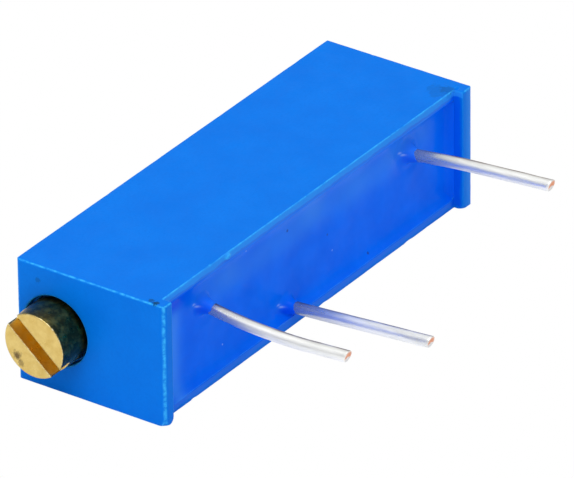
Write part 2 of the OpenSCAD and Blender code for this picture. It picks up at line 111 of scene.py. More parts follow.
# Worn corners of the feet: where along X, which way is into the foot, and how deep
WORN_CORNERS = ((NEAR_X, 1, 0.17 * MM), (POTTING[0][0], -1, 0.11 * MM),
                (POTTING[1][0], 1, 0.12 * MM))
# A lump of flash on the rim beside the first pin
FLASH_X = -5.2 * MM
FLASH_Z = TOP_Z - 0.13 * MM
FLASH_R = 0.12 * MM

# How the resin's face departs from its level: its climb at the walls and up the pins, with
# the length over which each falls off, its slow waves, and its lap over the walls
WALL_CLIMB = 0.303 * MM
WALL_FALL = 0.17 * MM
PIN_CLIMB = 0.56 * MM
PIN_FALL = 0.09 * MM
PIN_DIP = 0.05 * MM
WAVE_H = 0.04 * MM
RESIN_LAP = 0.05 * MM

# Meshing
EVERYWHERE = (-30 * MM, 30 * MM)
SHARP_ANGLE = math.radians(55)
# Where the ripple of each axis is read in the noise.  noise.noise_vector isn't used for it,
# because it starts from the time of day and differs from run to run.
RIPPLE_SHIFTS = (Vector((0, 0, 0)), Vector((17.3, 5.1, 9.7)), Vector((3.9, 21.5, 13.3)))
PIN_SIDES = 40
PIN_STEP = 0.08 * MM

# The camera
CAMERA_AZIMUTH = math.radians(-55.0)
CAMERA_ELEVATION = math.radians(29.596)
CAMERA_ROLL = math.radians(-0.646)
CAMERA_DISTANCE = 345.176 * MM
CAMERA_SHIFT = (-1.345 * MM, -1.787 * MM)
CAMERA_LENS = 612.5
SENSOR_WIDTH = 36.0

# The light and the floor
ROOM_LEVEL = 0.88
KEY_PLACE = (-0.25, -0.05, 0.5)
KEY_SIZE = 0.35
KEY_POWER = 1.2
FLOOR_COLOUR = (0.93, 0.93, 0.93)
FLOOR_HALF = 1.5
FLOOR_Z = -0.02 * MM


def set_camera():
    az, el, roll = CAMERA_AZIMUTH, CAMERA_ELEVATION, CAMERA_ROLL
    back = Vector((math.sin(az) * math.cos(el), -math.cos(az) * math.cos(el), math.sin(el)))
    right = (-back).cross(Vector((0, 0, 1))).normalized()
    up = right.cross(-back)
    tilted_right = math.cos(roll) * right + math.sin(roll) * up
    tilted_up = -math.sin(roll) * right + math.cos(roll) * up
    place = back * CAMERA_DISTANCE - tilted_right * CAMERA_SHIFT[0] - tilted_up * CAMERA_SHIFT[1]
    data = bpy.data.cameras.new("camera")
    data.lens = CAMERA_LENS
    data.sensor_width = SENSOR_WIDTH
    data.clip_start = 0.01
    data.clip_end = 10
    camera = bpy.data.objects.new("camera", data)
    turn = Matrix((tilted_right, tilted_up, back)).transposed().to_4x4()
    camera.matrix_world = Matrix.Translation(place) @ turn
    bpy.context.scene.collection.objects.link(camera)
    bpy.context.scene.camera = camera


# ---------------------------------------------------------------- materials

def new_material(name):
    """A material, its node tree and its Principled shader."""
    material = bpy.data.materials.new(name)
    material.use_nodes = True
    tree = material.node_tree
    return material, tree, tree.nodes["Principled BSDF"]


def node(tree, kind, **settings):
    """A node with settings; a setting whose name is an input's sets or links that input."""
    made = tree.nodes.new(kind)
    for key, value in settings.items():
        name = key.replace("_", " ")
        if name in made.inputs:
            plug(tree, made.inputs[name], value)
        else:
            setattr(made, key, value)
    return made


def plug(tree, socket, value):
    if isinstance(value, bpy.types.NodeSocket):
        tree.links.new(value, socket)
    else:
        socket.default_value = value


def object_place(tree):
    return node(tree, "ShaderNodeTexCoord").outputs["Object"]


def parts_of(tree, vector):
    return node(tree, "ShaderNodeSeparateXYZ", Vector=vector).outputs


def vector_maths(tree, operation, first, second=(0, 0, 0), output="Vector"):
    made = tree.nodes.new("ShaderNodeVectorMath")
    made.operation = operation
    plug(tree, made.inputs[0], first)
    plug(tree, made.inputs[1], second)
    return made.outputs[output]


def noise_at(tree, place, size, detail=3.0, roughness=0.5, distortion=0.0):
    """Noise whose features are about size metres across."""
    made = node(tree, "ShaderNodeTexNoise", Vector=place, Scale=1 / size, Detail=detail,
                Roughness=roughness, Distortion=distortion)
    return made.outputs["Fac"]


def spread(tree, value, low, high, to_low=0.0, to_high=1.0):
    """Maps a value from one range to another, clamped."""
    made = tree.nodes.new("ShaderNodeMapRange")
    for index, number in enumerate((value, low, high, to_low, to_high)):
        plug(tree, made.inputs[index], number)
    return made.outputs["Result"]


def maths(tree, operation, first, second=0.0):
    made = tree.nodes.new("ShaderNodeMath")
    made.operation = operation
    plug(tree, made.inputs[0], first)
    plug(tree, made.inputs[1], second)
    return made.outputs["Value"]


def times(tree, first, second):
    return maths(tree, "MULTIPLY", first, second)


def tinted(tree, factor, first, second):
    """The first colour, turned to the second as factor goes from 0 to 1."""
    made = tree.nodes.new("ShaderNodeMix")
    made.data_type = "RGBA"
    plug(tree, made.inputs["Factor"], factor)
    for name, value in (("A", first), ("B", second)):
        plug(tree, made.inputs[name], value if isinstance(value, bpy.types.NodeSocket)
             else (*value, 1))
    return made.outputs["Result"]


def between(tree, value, low, high, soft):
    """1 from low to high, falling to 0 over soft metres outside."""
    up = spread(tree, value, low - soft, low)
    return times(tree, up, spread(tree, value, high, high + soft, 1.0, 0.0))


def bumped(tree, height, depth, normal=None):
    made = node(tree, "ShaderNodeBump", Height=height, Distance=depth)
    if normal is not None:
        plug(tree, made.inputs["Normal"], normal)
    return made.outputs["Normal"]


def attribute(tree, name):
    return node(tree, "ShaderNodeAttribute", attribute_name=name).outputs["Fac"]


def specks(tree, place, size, share, radius=0.16):
    """Round specks, one or none to a cell of the given size: 1 on a speck, 0 off it."""
    cells = node(tree, "ShaderNodeTexVoronoi", Vector=place, Scale=1 / size)
    drawn = node(tree, "ShaderNodeSeparateColor", Color=cells.outputs["Color"]).outputs["Red"]
    chosen = maths(tree, "LESS_THAN", drawn, share)
    return times(tree, chosen, spread(tree, cells.outputs["Distance"], radius, 0.6 * radius))


def spot(tree, place, centre, radius, ragged=0.5):
    """1 within radius of a point, with an uneven border, falling to 0 outside."""
    away = vector_maths(tree, "DISTANCE", place, centre, "Value")
    torn = times(tree, maths(tree, "SUBTRACT", noise_at(tree, place, 0.4 * radius, 4), 0.5),
                 2 * ragged * radius)
    return spread(tree, maths(tree, "ADD", away, torn), radius, 0.6 * radius)


def housing_plastic():
    material, tree, shader = new_material("housing_plastic")
    place = object_place(tree)
    mottle = spread(tree, noise_at(tree, place, 1.6 * MM, 4), 0.35, 0.65)
    base = tinted(tree, mottle, (0.0, 0.168, 0.75), (0.0, 0.185, 0.79))
    grain = spread(tree, noise_at(tree, place, 0.11 * MM, 2), 0.45, 0.7)
    base = tinted(tree, times(tree, grain, 0.25), base, (0.0, 0.14, 0.68))
    # The resin wets the long rims and the feet's inner sides
    x, y, z = parts_of(tree, place)[:3]
    torn = times(tree, maths(tree, "SUBTRACT", noise_at(tree, place, 0.5 * MM, 4), 0.5), 0.2 * MM)
    wet = times(tree, between(tree, x, POTTING[0][0] - 0.02 * MM, POTTING[1][0] + 0.02 * MM,
                              0.03 * MM),
                between(tree, maths(tree, "ADD", z, torn), 0.18 * MM, TOP_Z - 0.26 * MM,
                        0.08 * MM))
    wet = times(tree, wet, between(tree, maths(tree, "ADD", y, torn), FOOT_Y + 0.16 * MM,
                                   SEAT_Y, 0.08 * MM))
    far_inner = spread(tree, x, POTTING[1][0] - 0.3 * MM, POTTING[1][0] - 0.1 * MM)
    film = tinted(tree, far_inner, (0.022, 0.178, 0.84), (0.0, 0.115, 0.82))
    base = tinted(tree, times(tree, wet, 0.9), base, film)
    # The upper rim's lip and the far foot's face catch more light
    lip = times(tree, between(tree, x, POTTING[0][0], POTTING[1][0], 0.03 * MM),
                between(tree, maths(tree, "ADD", z, torn), TOP_Z - 0.22 * MM, TOP_Z, 0.05 * MM))
    lip = times(tree, lip, between(tree, y, FOOT_Y, RIM_Y + 0.03 * MM, 0.02 * MM))
    base = tinted(tree, times(tree, lip, 0.65), base, (0.03, 0.32, 0.97))
    foot_face = times(tree, spread(tree, x, POTTING[1][0] + 0.15 * MM, FAR_X, 0.0, 0.7),
                      spread(tree, y, FOOT_Y + 0.08 * MM, FOOT_Y + 0.02 * MM))
    base = tinted(tree, foot_face, base, (0.07, 0.32, 0.85))
    # Edges are paler in broken stretches: a painted highlight along the middle of each outward
    # round
    broken = spread(tree, noise_at(tree, place, 0.22 * MM, 4, 0.75), 0.38, 0.60, 0.1, 1.0)
    painted_edge_highlight = times(tree, attribute(tree, "edge"), broken)
    painted_edge_highlight = times(tree, painted_edge_highlight, maths(tree, "SUBTRACT", 1.0, times(tree, wet, 0.6)))
    at_far_foot = between(tree, x, POTTING[1][0] - 0.05 * MM, POTTING[1][0] + 0.12 * MM, 0.04 * MM)
    painted_edge_highlight = times(tree, painted_edge_highlight, maths(tree, "SUBTRACT", 1.0, times(tree, at_far_foot, 0.8)))
    base = tinted(tree, times(tree, painted_edge_highlight, 0.9), base, (0.05, 0.50, 1.0))
    # Dust, and darker spots by the corners and on the end
    base = tinted(tree, times(tree, specks(tree, place, 0.9 * MM, 0.1, 0.045), 0.5),
                  base, (0.1, 0.42, 1.0))
    for centre, radius, strength in (
            ((NEAR_X + 0.12 * MM, FOOT_Y + 0.42 * MM, TOP_Z), 0.14 * MM, 0.9),
            ((NEAR_X + 0.2 * MM, FOOT_Y + 0.66 * MM, TOP_Z), 0.12 * MM, 0.6),
            ((FAR_X - 0.75 * MM, FOOT_Y + 0.62 * MM, TOP_Z), 0.3 * MM, 0.3),
            ((FAR_X - 1.0 * MM, FOOT_Y + 0.8 * MM, TOP_Z), 0.5 * MM, 0.2),
            ((NEAR_X, BACK_Y - 0.95 * MM, TOP_Z - 0.6 * MM), 0.12 * MM, 0.35)):
        base = tinted(tree, times(tree, spot(tree, place, centre, radius, 0.9), strength),
                      base, (0.004, 0.05, 0.13))
    plug(tree, shader.inputs["Base Color"], base)
    plug(tree, shader.inputs["Roughness"],
         spread(tree, noise_at(tree, place, 0.5 * MM, 5, 0.6), 0.3, 0.7, 0.36, 0.5))
    shader.inputs["Specular IOR Level"].default_value = 0.04
    fine = bumped(tree, noise_at(tree, place, 0.07 * MM, 3), 0.002 * MM)
    plug(tree, shader.inputs["Normal"],
         bumped(tree, noise_at(tree, place, 0.6 * MM, 3), 0.008 * MM, fine))
    return material


def potting_resin():
    """Epoxy, with a painted sheen by the walls and beside the pins, painted shade, and painted
    glints.
    """
    material, tree, shader = new_material("potting_resin")
    place = object_place(tree)
    cloud = spread(tree, noise_at(tree, place, 1.3 * MM, 3), 0.35, 0.65)
    base = tinted(tree, cloud, (0.0, 0.128, 0.88), (0.001, 0.152, 0.95))
    # Painted shade, painted sheen and painted glints, read from the attributes stored with the
    # mesh
    base = tinted(tree, attribute(tree, "deep"), base, (0.0, 0.066, 0.82))
    base = tinted(tree, attribute(tree, "painted_sheen"), base, (0.040, 0.255, 0.93))
    base = tinted(tree, attribute(tree, "glint"), base, (0.35, 0.55, 1.0))
    moved = vector_maths(tree, "ADD", place, (0.37, 0.21, 0.13))
    base = tinted(tree, times(tree, specks(tree, place, 0.75 * MM, 0.14, 0.06), 0.6),
                  base, (0.25, 0.5, 1.0))
    base = tinted(tree, times(tree, specks(tree, moved, 0.8 * MM, 0.16, 0.08), 0.7),
                  base, (0.02, 0.025, 0.14))
    plug(tree, shader.inputs["Base Color"], base)
    plug(tree, shader.inputs["Roughness"],
         spread(tree, noise_at(tree, place, 0.8 * MM, 4), 0.3, 0.7, 0.12, 0.24))
    shader.inputs["Specular IOR Level"].default_value = 0.03
    fine = bumped(tree, noise_at(tree, place, 0.12 * MM, 3), 0.0012 * MM)
    plug(tree, shader.inputs["Normal"],
         bumped(tree, noise_at(tree, place, 1.3 * MM, 2), 0.05 * MM, fine))
    return material


def screw_brass():
    """Turned brass: bright on the slotted face, tarnished round the side and darkened there
    by a painted reflection, its edges rubbed and given a painted highlight, with a stain of
    three spots on the face."""
    material, tree, shader = new_material("screw_brass")
    place = object_place(tree)
    axis = vector_maths(tree, "MULTIPLY",
                        vector_maths(tree, "SUBTRACT", place, (0, SCREW_Y, SCREW_Z)), (0, 1, 1))
    from_axis = vector_maths(tree, "LENGTH", axis, output="Value")
    along = parts_of(tree, place)[0]
    cloud = spread(tree, noise_at(tree, place, 0.35 * MM, 4, 0.6), 0.35, 0.65)
    face = tinted(tree, cloud, (0.67, 0.475, 0.14), (0.77, 0.58, 0.205))
    # The slot is deeper in colour, with paler rubbed patches
    normal_x = maths(tree, "ABSOLUTE",
                     parts_of(tree, node(tree, "ShaderNodeNewGeometry").outputs["Normal"])[0])
    facing = spread(tree, normal_x, 0.3, 0.8)
    tip_x = NEAR_X - HEAD_OUT
    deep = times(tree, spread(tree, along, tip_x + 0.05 * MM, tip_x + 0.4 * MM),
                 spread(tree, noise_at(tree, place, 0.25 * MM, 3, 0.6), 0.35, 0.62, 0.95, 0.2))
    deep = times(tree, deep, spread(tree, from_axis, 0.3 * HEAD_R, HEAD_R, 1.0, 0.5))
    face = tinted(tree, deep, face, (0.76, 0.45, 0.02))
    # Tarnish round the side, made darker as a painted dark reflection
    tarnish_and_painted_reflection = tinted(tree, spread(tree, noise_at(tree, place, 0.3 * MM, 4, 0.6), 0.45, 0.8),
                    (0.085, 0.070, 0.018), (0.42, 0.32, 0.07))
    outside = times(tree, spread(tree, from_axis, HEAD_R - 0.07 * MM, HEAD_R - 0.02 * MM),
                    maths(tree, "SUBTRACT", 1.0, facing))
    base = tinted(tree, outside, face, tarnish_and_painted_reflection)
    # Edges are brighter: rubbed brass, and a painted highlight along them
    rub_and_painted_highlight = times(tree, attribute(tree, "edge"),
                   spread(tree, noise_at(tree, place, 0.12 * MM, 3, 0.7), 0.4, 0.62))
    base = tinted(tree, rub_and_painted_highlight, base, (0.98, 0.86, 0.50))
    for off_y, off_z, radius, strength in ((0.70 * MM, -0.56 * MM, 0.22 * MM, 0.55),
                                           (0.72 * MM, -0.60 * MM, 0.12 * MM, 0.7),
                                           (0.56 * MM, -0.84 * MM, 0.15 * MM, 0.5)):
        stain = spot(tree, place, (tip_x, SCREW_Y + off_y, SCREW_Z + off_z), radius, 0.8)
        base = tinted(tree, times(tree, stain, strength), base, (0.10, 0.065, 0.035))
    plug(tree, shader.inputs["Base Color"], base)
    shader.inputs["Metallic"].default_value = 1.0
    rough = spread(tree, noise_at(tree, place, 0.16 * MM, 4), 0.3, 0.7, 0.26, 0.42)
    plug(tree, shader.inputs["Roughness"], rough)
    rings = node(tree, "ShaderNodeTexWave", wave_type="RINGS", rings_direction="SPHERICAL",
                 Vector=axis, Scale=1 / (0.3 * MM), Distortion=0.6, Detail=2.0)
    turned = bumped(tree, times(tree, rings.outputs["Fac"], facing), 0.0012 * MM)
    plug(tree, shader.inputs["Normal"],
         bumped(tree, noise_at(tree, place, 0.08 * MM, 3), 0.004 * MM, turned))
    return material


def tinned_copper():
    """Tinned wire with lengthwise drawing marks, and bare copper on part of its cut."""
    material, tree, shader = new_material("tinned_copper")
    place = object_place(tree)
    drawn = vector_maths(tree, "MULTIPLY", place, (1, 0.1, 1))
    cloud = spread(tree, noise_at(tree, drawn, 0.13 * MM, 4, 0.6), 0.35, 0.65)
    base = tinted(tree, cloud, (0.86, 0.87, 0.84), (1.0, 1.0, 0.98))
    # The wire is duller in lengthwise streaks
    dull = spread(tree, noise_at(tree, drawn, 0.3 * MM, 4, 0.6), 0.48, 0.72, 0.0, 0.4)
    base = tinted(tree, dull, base, (0.40, 0.40, 0.38))
    # Painted shade and dark reflection darken the wire near the resin
    root = spread(tree, parts_of(tree, place)[1], RIM_Y - 2.6 * MM, RIM_Y, 0.0, 0.6)
    base = tinted(tree, root, base, (0.24, 0.25, 0.29))
    # A die mark, painted where the pin's upper edge shows a dark reflection
    base = tinted(tree, attribute(tree, "dark_mark_and_painted_reflection"), base, (0.17, 0.11, 0.085))
    base = tinted(tree, attribute(tree, "cut"), base, (0.74, 0.30, 0.15))
    plug(tree, shader.inputs["Base Color"], base)
    shader.inputs["Metallic"].default_value = 0.8
    plug(tree, shader.inputs["Roughness"],
         maths(tree, "SUBTRACT", spread(tree, cloud, 0, 1, 0.48, 0.34), times(tree, root, 0.35)))
    plug(tree, shader.inputs["Normal"],
         bumped(tree, noise_at(tree, drawn, 0.09 * MM, 3), 0.008 * MM))
    return material


def plain_material(name, low, high, metallic=0.0, roughness=(0.4, 0.55), grain=0.08 * MM,
                   depth=0.002 * MM):
    """A material with a clouded colour, uneven roughness and a fine skin."""
    material, tree, shader = new_material(name)
    place = object_place(tree)
    cloud = spread(tree, noise_at(tree, place, 5 * grain, 4, 0.6), 0.35, 0.65)
    plug(tree, shader.inputs["Base Color"], tinted(tree, cloud, low, high))
    shader.inputs["Metallic"].default_value = metallic
    plug(tree, shader.inputs["Roughness"],
         spread(tree, noise_at(tree, place, 2 * grain, 4), 0.3, 0.7, *roughness))
    plug(tree, shader.inputs["Normal"], bumped(tree, noise_at(tree, place, grain, 3), depth))
    return material


# ---------------------------------------------------------------- meshes from fields

def graded(low, high, steps):
    """Grid lines from low to high.  Each of steps is (from, to, spacing), and the finest holds."""
    lines = [low]
    while lines[-1] < high:
        here = lines[-1]
        spacing = min(s for a, b, s in steps if a <= here <= b)
        ahead = [(a - here, s) for a, b, s in steps if a > here and s < spacing]
        near = min((gap for gap, s in ahead), default=spacing)
        lines.append(here + max(min(spacing, near), 1e-6))
    return np.array(lines)


def box_field(places, low, high):
    """Distance to a box, negative inside."""
    past = [np.maximum(a - v, v - b) for v, a, b in zip(places, low, high)]
    inside = past[0]
    for distance in past[1:]:
        inside = np.maximum(inside, distance)
    outside = np.sqrt(sum(np.maximum(distance, 0) ** 2 for distance in past))
    return np.where(inside > 0, outside, inside)


def rounded(places, low, high, r):
    """Distance to a box with its edges rounded to r."""
    return box_field(places, [v + r for v in low], [v - r for v in high]) - r


def soft_max(first, second, width):
    """The larger of two fields, rounded off where they cross."""
    near = np.maximum(width - np.abs(first - second), 0)
    return np.maximum(first, second) + near * near / (4 * width)


def surface_net(lines, field):
    """Vertices and quads of the surface where a field on a grid of lines is zero."""
    shape = tuple(n - 1 for n in field.shape)
    total = np.zeros((shape[0] * shape[1] * shape[2], 3))
    count = np.zeros(len(total))
    quads = []
    for axis in range(3):
        low = [slice(None)] * 3
        high = [slice(None)] * 3
        low[axis], high[axis] = slice(None, -1), slice(1, None)
        f_low, f_high = field[tuple(low)], field[tuple(high)]
        at = np.argwhere((f_low < 0) != (f_high < 0))
        a, b = f_low[tuple(at.T)], f_high[tuple(at.T)]
        points = np.stack([lines[k][at[:, k]] for k in range(3)], axis=1)
        step = lines[axis][at[:, axis] + 1] - lines[axis][at[:, axis]]
        points[:, axis] += step * a / (a - b)
        second, third = (axis + 1) % 3, (axis + 2) % 3
        inner = np.ones(len(at), bool)
        corners = []
        for back_two, back_three in ((1, 1), (0, 1), (0, 0), (1, 0)):
            cell = at.copy()
            cell[:, second] -= back_two
            cell[:, third] -= back_three
            valid = (cell >= 0).all(axis=1) & (cell < shape).all(axis=1)
            index = np.ravel_multi_index(tuple(np.clip(cell, 0, np.array(shape) - 1).T), shape)
            np.add.at(total, index[valid], points[valid])
            np.add.at(count, index[valid], 1)
            inner &= valid
            corners.append(index)
        quad = np.stack(corners, axis=1)[inner]
        flip = (a > b)[inner]
        quad[flip] = quad[flip][:, ::-1]
        quads.append(quad)
    used = count > 0
    number = np.cumsum(used) - 1
    vertices = total[used] / count[used][:, None]
    return vertices, number[np.concatenate(quads)]


def mesh_of(field, lines, passes=2):
    """The zero surface of a field function, its vertices drawn onto the surface."""
    grid = [lines[0][:, None, None], lines[1][None, :, None], lines[2][None, None, :]]
    vertices, quads = surface_net(lines, field(*grid))
    probe, least_slope, longest_move = 1e-7, 0.25, 0.01 * MM
    for _ in range(passes):
        x, y, z = vertices.T
        here = field(x, y, z)
        slope = np.stack([field(x + probe, y, z) - here, field(x, y + probe, z) - here,
                          field(x, y, z + probe) - here], axis=1) / probe
        size = np.maximum((slope ** 2).sum(axis=1), least_slope)
        shift = slope * (here / size)[:, None]
        length = np.linalg.norm(shift, axis=1)
        keep = np.minimum(1, longest_move / np.maximum(length, 1e-12))
        vertices = vertices - shift * keep[:, None]
    return vertices, quads


def make_mesh(name, vertices, faces, material):
    """A smooth-shaded mesh whose edges stay sharp where its faces meet steeply."""
    mesh = bpy.data.meshes.new(name)
    mesh.from_pydata(np.asarray(vertices).tolist(), [], [tuple(map(int, f)) for f in faces])
    mesh.validate()
    mesh.materials.append(material)
    mesh.polygons.foreach_set("use_smooth", np.ones(len(mesh.polygons), bool))
    mesh.set_sharp_from_angle(angle=SHARP_ANGLE)
    piece = bpy.data.objects.new(name, mesh)
    bpy.context.scene.collection.objects.link(piece)
    return piece


def store(piece, name, values):
    """Keeps one number for each vertex, for a material to read."""
    layer = piece.data.attributes.new(name, "FLOAT", "POINT")
    layer.data.foreach_set("value", np.asarray(values, np.float32))


def edge_share(piece, quads, radius):
    """For each vertex, 0 where the surface is flat or hollow and 1 on the middle of an outward
    edge of the given radius."""
    mesh = piece.data
    normals = np.zeros(len(mesh.vertices) * 3)
    places = np.zeros(len(mesh.vertices) * 3)
    mesh.vertices.foreach_get("normal", normals)
    mesh.vertices.foreach_get("co", places)
    normals, places = normals.reshape(-1, 3), places.reshape(-1, 3)
    ends = np.concatenate([quads[:, [k, (k + 1) % 4]] for k in range(4)])
    apart = places[ends[:, 1]] - places[ends[:, 0]]
    turned = ((normals[ends[:, 1]] - normals[ends[:, 0]]) * apart).sum(axis=1)
    turned = turned / np.maximum((apart ** 2).sum(axis=1), 1e-14)
    most = np.zeros(len(places))
    np.maximum.at(most, ends[:, 0], turned)
    np.maximum.at(most, ends[:, 1], turned)
    between_faces = np.clip((0.95 - np.abs(normals).max(axis=1)) / 0.15, 0, 1)
    return np.clip(most * radius * 1.3 - 0.3, 0, 1) * between_faces


# ---------------------------------------------------------------- housing

def edge_nicks():
    """Places and radii of the small knocks along the housing's outward edges."""
    chance = np.random.RandomState(7)
    nicks = []

    def along(start, end, count):
        for share in chance.uniform(0.02, 0.98, count):
            place = np.array(start) + share * (np.array(end) - np.array(start))
            radius = chance.uniform(0.04, 0.10) * MM
            away = place - np.array((0, 0, TOP_Z / 2))
            away = np.sign(away) * (np.array(start) == np.array(end))
            nicks.append((place + away * radius * chance.uniform(0.25, 0.7), radius))

    along((NEAR_X, FOOT_Y, TOP_Z), (NEAR_X, BACK_Y, TOP_Z), 26)
    along((NEAR_X, FOOT_Y, 0), (NEAR_X, FOOT_Y, TOP_Z), 16)
    along((NEAR_X, RIM_Y, TOP_Z), (FAR_X, RIM_Y, TOP_Z), 60)
    along((NEAR_X, RIM_Y, 0), (FAR_X, RIM_Y, 0), 40)
    along((NEAR_X, FOOT_Y, 0), (NEAR_X, BACK_Y, 0), 14)
    along((FAR_X, FOOT_Y, TOP_Z), (FAR_X, BACK_Y, TOP_Z), 14)
    along((FAR_X, FOOT_Y, 0), (FAR_X, FOOT_Y, TOP_Z), 10)
    along((NEAR_X, BACK_Y, TOP_Z), (FAR_X, BACK_Y, TOP_Z), 30)
    return nicks


def housing_field(x, y, z):
    """The moulded housing: rounded edges, feet with worn corners, the pocket of the potting, the
    space of the carriage, the screw's bearings, a lump of flash and the retainer's slot."""
    (low_x, low_y, low_z), (high_x, high_y, high_z) = HOUSING
    flat = 0 * (x + y + z)
    field = rounded((x + flat, y), (low_x, low_y), (high_x, high_y), CORNER_R)
    field = np.maximum(field, rounded((x, z), (low_x, low_z), (high_x, high_z), EDGE_R) + flat)
    field = np.maximum(field, rounded((y, z), (low_y, low_z), (high_y, high_z), EDGE_R) + flat)
    (pocket_near, _, pocket_low), (pocket_far, _, pocket_high) = POTTING
    feet_gap = np.maximum(np.maximum(pocket_near - x, x - pocket_far), y - RIM_Y) + flat
    field = soft_max(field, -feet_gap, 0.06 * MM)
    pocket = np.maximum(
        rounded((x, z), (pocket_near, pocket_low), (pocket_far, pocket_high), CORNER_R),
        y - SEAT_Y)
    field = np.maximum(field, -pocket)
    space = box_field((x + flat, y, z),
                      (CAVITY_X[0], SEAT_Y - MM, CARRIAGE[0][2] - SLIDE_GAP),
                      (CAVITY_X[1], BACK_Y - BACK_WALL, CARRIAGE[1][2] + SLIDE_GAP))
    field = np.maximum(field, -space)
    from_axis = np.sqrt((y - SCREW_Y) ** 2 + (z - SCREW_Z) ** 2)
    field = soft_max(field, -np.maximum(from_axis - MOUTH_R, x - NEAR_X - MOUTH_DEPTH),
                     0.06 * MM)
    for radius, start, end in (
            (HEAD_R + RUN_GAP, NEAR_X - MM, CLIP[0][0]),
            (THREAD_R + RUN_GAP, NEAR_X - MM, CAVITY_X[0] + 0.1 * MM),
            (JOURNAL_R + RUN_GAP, CAVITY_X[1] - 0.1 * MM, SCREW[1][0] + 3 * SLIDE_GAP)):
        bore = np.maximum(from_axis - radius, np.maximum(start - x, x - end))
        field = np.maximum(field, -bore)
    for corner_x, inward, depth in WORN_CORNERS:
        along = inward * (x - corner_x)
        cut = depth - (along + y - FOOT_Y + z) / math.sqrt(3)
        reach = 2.2 * depth - np.sqrt(along ** 2 + (y - FOOT_Y) ** 2 + z ** 2)
        field = soft_max(field, np.minimum(cut, reach), 0.06 * MM)
    lump = np.sqrt((x - FLASH_X) ** 2 + (y - RIM_Y) ** 2 + (z - FLASH_Z) ** 2)
    field = np.minimum(field, lump - FLASH_R)
    clip_slot = box_field((x + flat, y, z), (CLIP[0][0], CLIP[0][1] - MM, CLIP[0][2]), CLIP[1])
    return np.maximum(field, -clip_slot)


def housing_shell(material):
    nicks = edge_nicks()

    def field(x, y, z):
        made = housing_field(x, y, z)
        if made.ndim == 1:
            for centre, radius in nicks:
                near = np.abs(x - centre[0]) < 2 * radius
                away = np.sqrt((x[near] - centre[0]) ** 2 + (y[near] - centre[1]) ** 2
                               + (z[near] - centre[2]) ** 2)
                made[near] = soft_max(made[near], radius - away, 0.03 * MM)
            return made
        for centre, radius in nicks:
            window = tuple(slice(*np.searchsorted(v.ravel(), (c - 2 * radius, c + 2 * radius)))
                           for v, c in zip((x, y, z), centre))
            away = np.sqrt((x[window[0]] - centre[0]) ** 2 + (y[:, window[1]] - centre[1]) ** 2
                           + (z[:, :, window[2]] - centre[2]) ** 2)
            made[window] = soft_max(made[window], radius - away, 0.03 * MM)
        return made

    (low_x, low_y, low_z), (high_x, high_y, high_z) = HOUSING
    margin, fine, reach = 0.12 * MM, 0.03 * MM, 0.2 * MM

    def close(*planes, spacing=fine, within=reach):
        return [(p - within, p + within, spacing) for p in planes]

    mouth_y = (SCREW_Y - MOUTH_R - 0.1 * MM, SCREW_Y + MOUTH_R + 0.1 * MM, 0.05 * MM)
    mouth_z = (SCREW_Z - MOUTH_R - 0.1 * MM, SCREW_Z + MOUTH_R + 0.1 * MM, 0.05 * MM)
    xs = graded(low_x - margin, high_x + margin,
                [(*EVERYWHERE, 0.3 * MM)] + close(low_x, high_x)
                + close(POTTING[0][0], POTTING[1][0], within=0.12 * MM)
                + close(CLIP[0][0], CLIP[1][0], *CAVITY_X, spacing=0.1 * MM))
    ys = graded(low_y - margin, high_y + margin,
                [(*EVERYWHERE, 0.2 * MM), mouth_y] + close(low_y, RIM_Y, high_y))
    zs = graded(low_z - margin, high_z + margin,
                [(*EVERYWHERE, 0.2 * MM), mouth_z] + close(low_z, high_z)
                + close(POTTING[0][2], POTTING[1][2], within=0.1 * MM))
    vertices, quads = mesh_of(field, (xs, ys, zs))
    piece = make_mesh("housing_shell", rippled(vertices), quads, material)
    store(piece, "edge", edge_share(piece, quads, CORNER_R))
    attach(piece, "base")
    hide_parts("housing")


def rippled(vertices, size=0.5 * MM, depth=0.004 * MM):
    """Moves vertices by a few micrometres, to the waviness of a moulded skin."""
    shifts = [[noise.noise(Vector(v) / size + apart) for apart in RIPPLE_SHIFTS]
              for v in vertices]
    return vertices + depth * np.array(shifts)


# ---------------------------------------------------------------- screw

